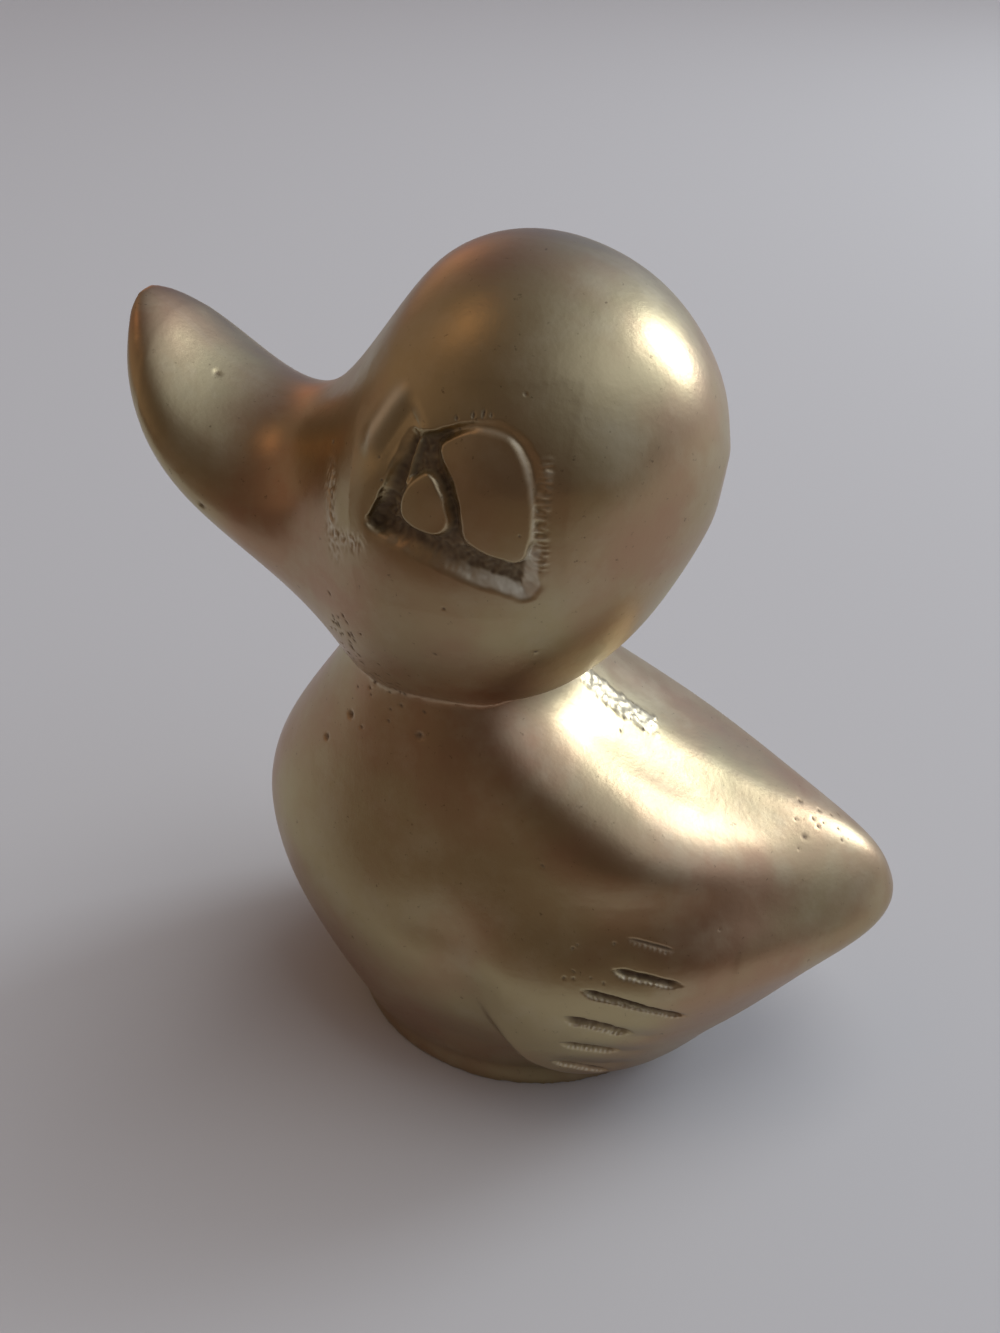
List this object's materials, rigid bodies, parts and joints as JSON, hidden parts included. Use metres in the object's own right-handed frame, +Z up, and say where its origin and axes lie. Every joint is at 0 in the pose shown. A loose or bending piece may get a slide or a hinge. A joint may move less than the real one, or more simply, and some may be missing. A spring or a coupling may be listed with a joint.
{
  "type": "duck figurine",
  "caption": "Standing duckling figurine in cast brass, with an upturned bill, a round head, engraved eyes, folded wings and a flat base to stand on a shelf or desk.",
  "frame": {"origin": "middle of the flat base, on the surface it stands on and in the figurine's middle plane", "axes": "+Z up, -Y the way the bill points, +Y the tail, +X the figurine's left side"},
  "size_m": [0.044, 0.076, 0.0838],
  "materials": {
    "cast_brass": "satin, aged",
    "turned_brass": "machined",
    "braze": "rough, aged"
  },
  "bodies": {
    "root": {"body_left_casting": "cast_brass", "body_right_casting": "cast_brass", "head_left_casting": "cast_brass", "head_right_casting": "cast_brass", "neck_spigot": "turned_brass", "body_seam_braze": "braze", "head_seam_braze": "braze", "neck_braze_ring": "braze"}
  },
  "joints": []
}
